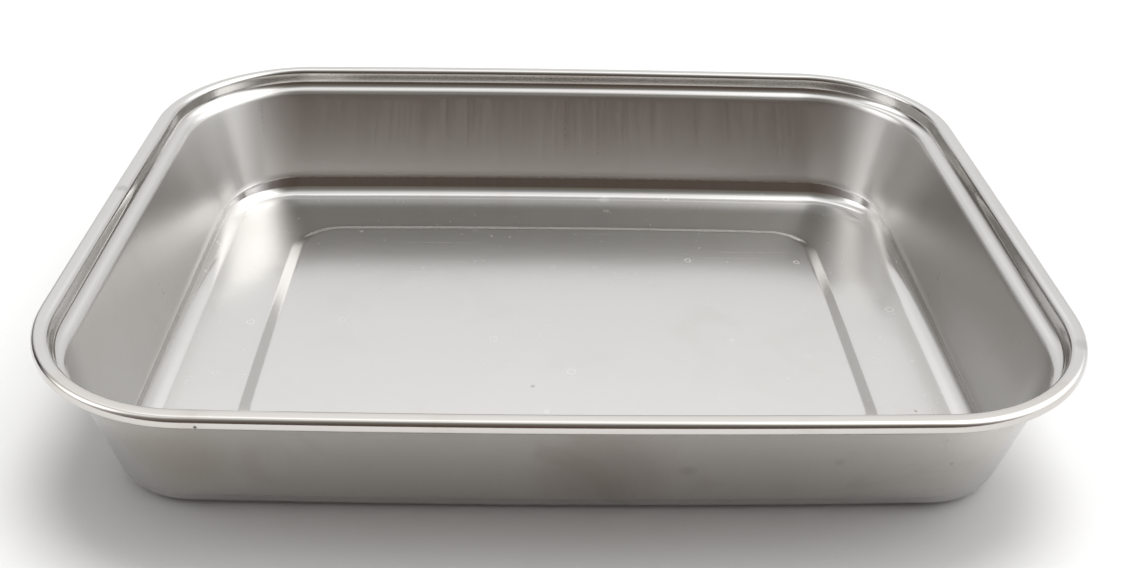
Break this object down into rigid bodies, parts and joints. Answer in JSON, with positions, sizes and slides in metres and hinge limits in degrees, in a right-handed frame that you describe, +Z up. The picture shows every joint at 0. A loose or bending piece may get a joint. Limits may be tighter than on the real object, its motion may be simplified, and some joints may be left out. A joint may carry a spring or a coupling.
{
  "type": "instrument tray",
  "caption": "Shallow rectangular stainless steel instrument tray with rounded corners, a rolled rim, a lid seat and a raised floor panel.",
  "frame": {"origin": "under the middle of the floor, on the plane the tray stands on", "axes": "+X along the long side, +Y along the short side away from the front, +Z up"},
  "size_m": [0.381, 0.3048, 0.061],
  "materials": {
    "pan_steel": "satin polished stainless",
    "wire_steel": "drawn wire, unpolished"
  },
  "bodies": {
    "root": {"tray_pan": "pan_steel", "rim_wire": "wire_steel"}
  },
  "joints": []
}
